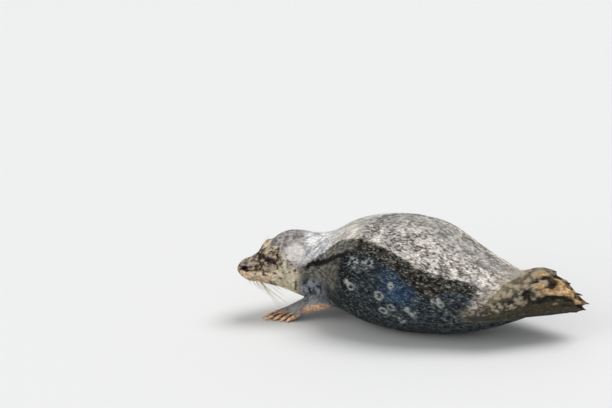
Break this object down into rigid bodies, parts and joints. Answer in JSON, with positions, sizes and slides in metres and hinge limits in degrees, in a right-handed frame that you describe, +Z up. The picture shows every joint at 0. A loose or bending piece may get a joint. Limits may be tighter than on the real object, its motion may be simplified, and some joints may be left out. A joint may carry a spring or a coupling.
{
  "type": "harbor seal",
  "caption": "Young harbor seal resting on its belly, head turned to its left, fore flipper reaching forward, hind flippers held together behind.",
  "frame": {"origin": "on the floor below the middle of the box round the whole seal", "axes": "+Z up; the nose points towards -X and the hind flippers towards +X; the seal's own left is -Y, and its head is turned that way"},
  "size_m": [0.9152, 0.348, 0.2885],
  "materials": {
    "coat": "short flat spotted fur, damp below and dry above",
    "flipper_skin": "short-haired wrinkled skin",
    "claw": "horn, semi-matt",
    "eye": "wet, mirror-smooth"
  },
  "bodies": {
    "root": {"head": "coat", "lower_jaw": "coat", "neck": "coat", "chest": "coat", "belly": "coat", "rump": "coat", "tail": "coat", "fore_flipper_left": "flipper_skin", "fore_flipper_right": "flipper_skin", "hind_flipper_left": "flipper_skin", "hind_flipper_right": "flipper_skin", "claw_fore_left_1": "claw", "claw_fore_left_2": "claw", "claw_fore_left_3": "claw", "claw_fore_left_4": "claw", "claw_fore_left_5": "claw", "claw_fore_right_1": "claw", "claw_fore_right_2": "claw", "claw_fore_right_3": "claw", "claw_fore_right_4": "claw", "claw_fore_right_5": "claw", "claw_hind_left_1": "claw", "claw_hind_left_2": "claw", "claw_hind_left_3": "claw", "claw_hind_left_4": "claw", "claw_hind_left_5": "claw", "claw_hind_right_1": "claw", "claw_hind_right_2": "claw", "claw_hind_right_3": "claw", "claw_hind_right_4": "claw", "claw_hind_right_5": "claw", "eye_left": "eye", "eye_right": "eye"}
  },
  "joints": []
}
